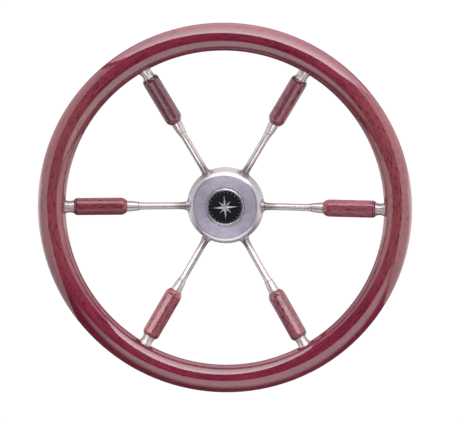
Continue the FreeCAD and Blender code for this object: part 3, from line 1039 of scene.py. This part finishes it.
@dataclass
class PhotoCamera:
    """The camera, at the photograph's angle and scale.

    Attributes:
        aim: the point of the wheel that the photograph's scale is measured at.
        distance: how far away the camera is.
        azimuth: the angle round the wheel, to the right of its face.
        elevation: the angle above level.
        pixels_per_metre: the photograph's scale at the aim.
        frame_size: the photograph's width and height in pixels.
        aim_pixel: where the aim falls in it, from its upper left.
    """

    aim: Vector = field(default_factory=lambda: Vector((0.0, -0.042, 0.0)))
    distance: float = 7.0
    azimuth: float = math.radians(3.0)
    elevation: float = math.radians(9.7)
    pixels_per_metre: float = 937.2
    frame_size: tuple[int, int] = (457, 424)
    aim_pixel: tuple[float, float] = (224.7, 208.3)
    sensor: float = 36.0
    clip_end: float = 100.0

    def build(self) -> None:
        """Place the camera so that the aim falls on its pixel."""
        turn = Matrix.Rotation(self.azimuth, 3, "Z") @ Matrix.Rotation(math.pi / 2 - self.elevation, 3, "X")
        right, up, back = turn.col
        across, down = ((size / 2 - pixel) / self.pixels_per_metre
                        for size, pixel in zip(self.frame_size, self.aim_pixel))
        middle = self.aim + right * across - up * down
        lens = bpy.data.cameras.new("photo_camera")
        lens.sensor_width = self.sensor
        lens.lens = self.pixels_per_metre * self.distance * self.sensor / self.frame_size[0]
        lens.clip_end = self.clip_end
        camera = bpy.data.objects.new("photo_camera", lens)
        camera.matrix_world = Matrix.Translation(middle + back * self.distance) @ turn.to_4x4()
        bpy.context.scene.collection.objects.link(camera)
        bpy.context.scene.camera = camera


@dataclass
class Lamps:
    """The lamps round the wheel, open towards the camera.

    Attributes:
        tilt: the angle in radians that the soft lamps' frame leans by.
        overhead_low: the lowest coordinates of the wide lamps above the wheel.
        overhead_high: the highest.
        overhead_fade: the distances forward between which those lamps brighten.
        grips_front: the front of the lamp over the grips, which is less deep.
        side_edge: the curve at which the side cards' light ends.
    """

    tilt: float
    overhead_low: tuple[float, float, float] = (-1.9, -4.2, 2.0)
    overhead_high: tuple[float, float, float] = (2.6, 2.0, 2.0)
    overhead_fade: tuple[float, float] = (-1.2, 3.0)
    grips_front: float = -3.6
    side_edge: CurvedEdge = CurvedEdge(0.75, -0.55, 0.6, axis=2)

    def build(self) -> None:
        """Hang all lamps."""
        for softbox in (*self.overhead(), *self.cards(), *self.fills()):
            softbox.build(self.tilt)
        for strip in self.strips():
            strip.build()

    def overhead(self) -> tuple[Softbox, ...]:
        """The wide lamps above the wheel, for the rim, the hub, the grips and the spokes' steel.

        Returns:
            The lamps.
        """
        left, _, height = self.overhead_low
        grips_low = (left, self.grips_front, height)
        edge = CurvedEdge(3.45, 0.55, -0.2)
        grips_edge = CurvedEdge(2.3, 0.55, -0.2)
        rows = (
            ("rim_softbox", self.overhead_low, 7.2, RIM, 0.24, edge),
            ("hub_softbox", self.overhead_low, 7.2, HUB, 0.16, edge),
            ("grip_softbox", grips_low, 4.4, on_every_spoke(GRIP), 0.1, grips_edge),
            ("spoke_softbox", self.overhead_low, 3.8, on_every_spoke(STEEL), 0.1, edge),
        )
        return tuple(
            Softbox(name, low, self.overhead_high, Facing.DOWN, radiance, pieces, back_share,
                    self.overhead_fade, front)
            for name, low, radiance, pieces, back_share, front in rows
        )

    def cards(self) -> tuple[Softbox, ...]:
        """The cards at both sides and near the floor.

        Returns:
            The lamps.
        """
        return (
            Softbox("right_card", (0.91, -1.6, -0.66), (0.91, 1.0, 0.72), Facing.LEFT, 2.2,
                    back_share=0.5, edge=self.side_edge),
            Softbox("left_card", (-0.91, -1.6, -0.72), (-0.91, 1.0, 0.86), Facing.RIGHT, 1.9,
                    back_share=0.5, edge=self.side_edge),
            Softbox("rim_floor_card", (-0.9, -1.9, -0.62), (1.3, 0.2, -0.62), Facing.UP, 2.45,
                    RIM, patch=RoundPatch((0.16, 0.64), (0.82, 0.74), core=0.5)),
            Softbox("grip_floor_card", (-0.9, -1.35, -0.62), (1.1, 0.0, -0.62), Facing.UP, 0.8,
                    on_every_spoke(GRIP), patch=RoundPatch((0.12, 0.65), (0.95, 0.68))),
            Softbox("metal_floor_card", (-0.9, -1.2, -0.62), (1.1, 0.9, -0.62), Facing.UP, 1.0,
                    HUB + on_every_spoke(STEEL), patch=RoundPatch((0.12, 0.2), (0.95, 0.9))),
        )

    def fills(self) -> tuple[Softbox, ...]:
        """The plain lamps that lift the metal's shadows.

        Returns:
            The lamps.
        """
        return (
            Softbox("hub_front_fill", (-1.5, -3.0, -1.0), (1.5, -3.0, 1.0), Facing.BACK, 0.46, HUB),
            Softbox("spoke_front_fill", (-1.5, -3.0, -1.0), (1.5, -3.0, 1.0), Facing.BACK, 1.1,
                    on_every_spoke(STEEL)),
            Softbox("hub_floor_card", (-0.4, -0.30, -0.5), (0.4, 0.15, -0.5), Facing.UP, 1.5, HUB),
        )

    def strips(self) -> tuple[SpokeStrip, ...]:
        """The strips that draw a bright line along each sloping spoke.

        Returns:
            The lamps.
        """
        return (
            SpokeStrip(GRIP, 2, (22.2, -35.4), (-13.1, -17.2), 1.15),
            SpokeStrip(GRIP, 3, (-18.4, -30.4), (16.0, -12.0), 1.8),
            SpokeStrip(GRIP, 5, (-6.5, 5.6), (-56.6, 24.4), 4.6),
            SpokeStrip(GRIP, 6, (-1.2, 4.6), (46.7, 25.4), 4.0),
            SpokeStrip(STEEL, 2, (12.0, -31.0), (-13.1, -17.2), 5.0),
            SpokeStrip(STEEL, 3, (-10.0, -26.0), (16.0, -12.0), 5.0),
            SpokeStrip(STEEL, 5, (-6.5, 5.6), (-50.0, 22.5), 5.5),
            SpokeStrip(STEEL, 6, (-1.2, 4.6), (46.7, 25.4), 4.5),
        )


@dataclass
class Floor:
    """The pale floor, which shows white where the camera sees it.

    Attributes:
        level: the floor's height.
        half: half its width.
        seen_reach: the distances from the middle between which its glow for the camera rises.
        seen_share: that glow in the middle, where the wheel's shadow falls.
        mirrored_reach: the places away from the camera between which its glow in mirrors rises.
    """

    level: float = -0.95
    half: float = 20.0
    paper: Colour = (0.18, 0.18, 0.18)
    seen_reach: tuple[float, float] = (0.8, 2.5)
    seen_share: float = 0.85
    mirrored_reach: tuple[float, float] = (0.9, 2.5)

    def build(self) -> None:
        """Lay the floor."""
        mesh = bpy.data.meshes.new("floor")
        sheet = bmesh.new()
        bmesh.ops.create_grid(sheet, x_segments=1, y_segments=1, size=self.half,
                              matrix=Matrix.Translation((0.0, 0.0, self.level)))
        sheet.to_mesh(mesh)
        sheet.free()
        mesh.materials.append(self.material())
        floor = bpy.data.objects.new("floor", mesh)
        bpy.context.scene.collection.objects.link(floor)

    def material(self) -> bpy.types.Material:
        """Make the floor's paper, which glows for the camera and, far back, in mirrors.

        Returns:
            The material.
        """
        graph = Graph(bpy.data.materials.new("floor_paper"))
        rays = graph.add("ShaderNodeLightPath").outputs
        x, y, _ = graph.split(graph.place())
        glow = graph.eased(graph.length(graph.vector(x, y, 0.0)), *self.seen_reach, self.seen_share, 1.0)
        seen = graph.math("MULTIPLY", rays["Is Camera Ray"], glow)
        mirrored = graph.math("MAXIMUM", rays["Is Glossy Ray"], rays["Is Transmission Ray"])
        mirrored = graph.math("MULTIPLY", mirrored, graph.eased(y, *self.mirrored_reach))
        paper = graph.add("ShaderNodeBsdfDiffuse", {"Color": self.paper})
        light = graph.add("ShaderNodeEmission", {
            "Color": WHITE, "Strength": graph.math("MAXIMUM", seen, mirrored)})
        return graph.finish(graph.add("ShaderNodeAddShader", {0: paper.outputs[0], 1: light.outputs[0]}))


@dataclass
class Room:
    """The dim room, with a white wall behind the wheel.

    Attributes:
        dim: the room's brightness.
        wall: how squarely a direction points away from the camera where the white wall begins
            and where it is full.
    """

    dim: float = 0.11
    wall: tuple[float, float] = (0.86, 0.95)

    def build(self) -> None:
        """Light the room."""
        world = bpy.data.worlds.new("room")
        bpy.context.scene.world = world
        graph = Graph(world)
        seen = graph.add("ShaderNodeLightPath").outputs["Is Camera Ray"]
        away = graph.split(graph.add("ShaderNodeTexCoord").outputs["Generated"])[1]
        strength = graph.math("MAXIMUM", seen, graph.eased(away, *self.wall, self.dim, 1.0))
        background = graph.add("ShaderNodeBackground", {"Color": WHITE, "Strength": strength})
        output = graph.add("ShaderNodeOutputWorld")
        graph.tree.links.new(background.outputs[0], output.inputs["Surface"])


@dataclass
class Studio:
    """Camera, soft lamps, pale floor and the room's light."""

    camera: PhotoCamera = field(default_factory=PhotoCamera)

    def build(self) -> None:
        """Set up the studio."""
        bpy.context.scene.view_settings.view_transform = "Standard"
        for part in (self.camera, Lamps(self.camera.elevation), Floor(), Room()):
            part.build()


def main() -> None:
    """Build the studio and dress the wheel."""
    logging.basicConfig(level=logging.INFO, format="%(message)s")
    for group in (Rim(), Spokes(), Hub(), Studio()):
        group.build()


if __name__ == "__main__":
    main()
